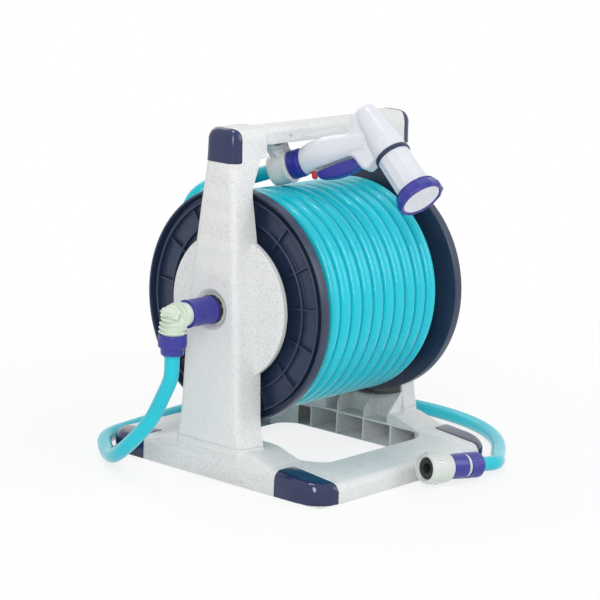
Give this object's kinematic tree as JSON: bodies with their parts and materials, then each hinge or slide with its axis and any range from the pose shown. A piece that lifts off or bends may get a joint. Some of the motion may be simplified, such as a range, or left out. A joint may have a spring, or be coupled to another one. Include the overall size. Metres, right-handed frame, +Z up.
{
  "type": "hose reel",
  "caption": "Free-standing garden hose reel: a cranked drum of wound hose between two columns on an open base, with a carrying handle, spray nozzle and supply hose.",
  "frame": {"origin": "on the floor, under the middle of the box round the reel and its nozzle, without the free hoses", "axes": "+X along the drum's axle towards the crank, +Y towards the back, away from the spray head, +Z up"},
  "size_m": [0.5895, 0.5093, 0.5005],
  "materials": {
    "speckled_plastic": "pale grey-white moulded plastic with fine specks",
    "navy_plastic": "satin dark blue moulded plastic",
    "navy_gloss_plastic": "glossy dark blue moulded plastic",
    "hose": "glossy turquoise braided garden hose",
    "hose_layers": "turquoise hose, inner layers",
    "purple_plastic": "satin blue-purple moulded plastic",
    "cream_plastic": "satin cream moulded plastic",
    "lavender_plastic": "glossy lavender-white moulded plastic",
    "white_plastic": "white moulded plastic",
    "red_plastic": "red moulded plastic",
    "black_plastic": "black moulded plastic",
    "rubber": "soft black rubber",
    "steel": "plated steel"
  },
  "bodies": {
    "frame": {"base_frame": "speckled_plastic", "base_cap_left_front": "navy_gloss_plastic", "base_cap_left_back": "navy_gloss_plastic", "base_cap_right_front": "navy_gloss_plastic", "base_cap_right_back": "navy_gloss_plastic", "left_column": "speckled_plastic", "right_column": "speckled_plastic", "left_top_cap": "navy_gloss_plastic", "right_top_cap": "navy_gloss_plastic", "carry_handle": "speckled_plastic", "nozzle_holder": "speckled_plastic", "holder_pin": "steel", "left_hub_bush": "white_plastic", "right_hub_bush": "white_plastic", "left_column_screw_front": "steel", "left_column_screw_back": "steel", "right_column_screw_front": "steel", "right_column_screw_back": "steel", "left_handle_screw": "steel", "right_handle_screw": "steel", "supply_hose": "hose", "tap_nut": "purple_plastic", "tap_ring": "white_plastic", "tap_sleeve": "purple_plastic", "tap_body": "white_plastic", "tap_seal": "rubber", "tap_screw_0": "steel", "tap_screw_1": "steel", "tap_screw_2": "steel", "tap_screw_3": "steel"},
    "drum": {"left_flange": "navy_plastic", "right_flange": "navy_plastic", "drum_barrel": "navy_plastic", "hose_inner_layers": "hose_layers", "hose_winding": "hose", "water_spindle": "white_plastic", "spindle_seal": "rubber", "crank_axle": "white_plastic", "crank_arm": "navy_plastic", "crank_screw": "steel", "knob_pin": "steel"},
    "knob": {"crank_knob": "black_plastic"},
    "connector": {"connector_collar": "purple_plastic", "claw_ring": "black_plastic", "ribbed_elbow": "cream_plastic", "elbow_nut": "purple_plastic"},
    "nozzle": {"nozzle_collar": "purple_plastic", "nozzle_body": "lavender_plastic", "nozzle_band": "navy_gloss_plastic", "spray_barrel": "lavender_plastic", "valve_stem": "steel", "trigger_pin": "steel", "leader_hose": "hose"},
    "trigger": {"trigger": "purple_plastic"},
    "lock": {"trigger_lock": "red_plastic"},
    "spray_head": {"spray_ring": "purple_plastic", "spray_face": "white_plastic"}
  },
  "joints": [
    {"name": "drum_spin", "type": "hinge", "parent": "frame", "child": "drum", "pos_m": [0, 0.01209, 0.2305], "axis": [1, 0, 0], "continuous": true, "deforming": ["leader_hose"]},
    {"name": "crank_knob_spin", "type": "hinge", "parent": "drum", "child": "knob", "pos_m": [0.24, 0.0828, 0.15979], "axis": [1, 0, 0], "continuous": true},
    {"name": "elbow_swivel", "type": "hinge", "parent": "frame", "child": "connector", "pos_m": [-0.215, 0.01209, 0.2305], "axis": [1, 0, 0], "range_deg": [-15, 15], "deforming": ["supply_hose"]},
    {"name": "nozzle_lift", "type": "slide", "parent": "frame", "child": "nozzle", "axis": [0.2655, -0.9005, 0.3443], "range_m": [0, 0.024], "deforming": ["leader_hose"]},
    {"name": "trigger_squeeze", "type": "hinge", "parent": "nozzle", "child": "trigger", "pos_m": [-0.01552, -0.09424, 0.42508], "axis": [0.9377, 0.1583, -0.3092], "range_deg": [0, 6], "stiffness_Nm_per_rad": 0.8, "springref_deg": -11.46},
    {"name": "trigger_lock_slide", "type": "slide", "parent": "nozzle", "child": "lock", "axis": [0.2655, -0.9005, 0.3443], "range_m": [-0.0035, 0]},
    {"name": "spray_pattern_turn", "type": "hinge", "parent": "nozzle", "child": "spray_head", "pos_m": [-0.01156, -0.19092, 0.38759], "axis": [-0.0896, -0.7499, -0.6555], "continuous": true}
  ]
}
